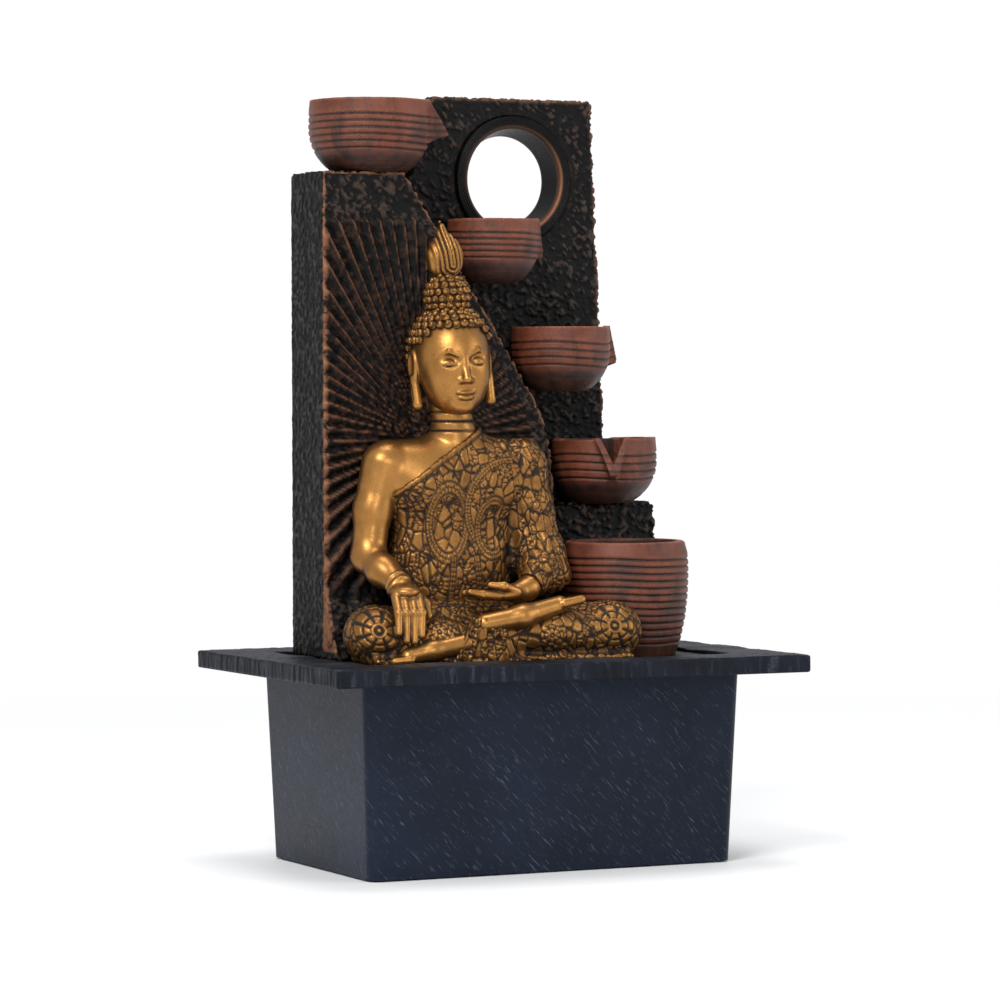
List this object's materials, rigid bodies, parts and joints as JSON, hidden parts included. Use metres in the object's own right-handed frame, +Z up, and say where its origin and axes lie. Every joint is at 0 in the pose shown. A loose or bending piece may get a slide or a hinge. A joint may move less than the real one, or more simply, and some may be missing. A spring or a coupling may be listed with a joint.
{
  "type": "tabletop water fountain",
  "caption": "Tabletop water fountain: rimmed tub, two cast stone-effect walls with a round window, stepped bowls and a seated figure that lift out, and a submersible pump inside.",
  "frame": {"origin": "middle of the footprint, at the level of the foot pads' undersides", "axes": "+X to the right seen from the front, -Y the front, +Z up"},
  "size_m": [0.267, 0.1866, 0.402],
  "materials": {
    "tub_plastic": "brushed, blue-black",
    "slate_rim": "split-slate top, ribbed edge, dark",
    "dark_stone": "rough cast stone effect with bronze dry-brushing",
    "smooth_dark_resin": "smooth, with a rubbed coppery edge",
    "terracotta": "antiqued terracotta, satin",
    "antique_gold": "antique gold paint over dark patina",
    "pebble": "natural, matt",
    "black_rubber": "matt",
    "black_plastic": "moulded, fine grain",
    "hatch_plastic": "moulded, fine grain",
    "white_plastic": "moulded",
    "blue_plastic": "moulded",
    "clear_hose": "soft, milky",
    "steel": "bright",
    "lamination": "stacked laminations",
    "copper": "enamelled winding",
    "ferrite": "dark ferrite",
    "white_ceramic": "ground"
  },
  "bodies": {
    "basin": {"reservoir_tub": "tub_plastic", "rim_deck": "slate_rim", "foot_pads": "black_rubber", "cord_grommet": "black_rubber", "pump_housing": "black_plastic", "motor_cap": "black_plastic", "pump_gland": "black_rubber", "stator_core": "lamination", "stator_coil": "copper", "volute_plate": "black_plastic", "volute_seal": "black_rubber", "outlet_nozzle": "black_plastic", "rotor_shaft": "white_ceramic", "front_bush": "black_rubber", "rear_bush": "black_rubber", "suction_cups": "black_rubber"},
    "decor": {"plinth": "dark_stone", "ray_wall": "dark_stone", "moon_wall": "dark_stone", "window_ring": "smooth_dark_resin", "ledge_block": "dark_stone", "upper_bowl": "terracotta", "second_bowl": "terracotta", "third_bowl": "terracotta", "fourth_bowl": "terracotta", "lower_pot": "terracotta", "seated_figure": "antique_gold", "pebbles": "pebble", "riser_hose": "clear_hose", "hose_clips": "black_plastic", "bowl_spigot": "black_plastic", "bowl_pins": "steel", "wall_dowels": "steel", "figure_pins": "steel"},
    "hatch": {"rear_hatch": "hatch_plastic"},
    "rotor": {"rotor_magnet": "ferrite", "impeller": "white_plastic"},
    "strainer": {"intake_cover": "black_plastic"},
    "regulator": {"flow_knob": "blue_plastic"}
  },
  "joints": [
    {"name": "decor_lift", "type": "slide", "parent": "basin", "child": "decor", "axis": [0, 0, 1], "range_m": [0, 0.12]},
    {"name": "hatch_pull", "type": "slide", "parent": "decor", "child": "hatch", "axis": [0, 1, 0], "range_m": [0, 0.03]},
    {"name": "rotor_spin", "type": "hinge", "parent": "basin", "child": "rotor", "pos_m": [-0.0613, 0.029, 0.03], "axis": [1, 0, 0], "continuous": true},
    {"name": "cover_pull", "type": "slide", "parent": "basin", "child": "strainer", "axis": [1, 0, 0], "range_m": [0, 0.025]},
    {"name": "knob_turn", "type": "hinge", "parent": "strainer", "child": "regulator", "pos_m": [-0.0358, 0.029, 0.02], "axis": [1, 0, 0], "range_deg": [-90, 0]}
  ]
}
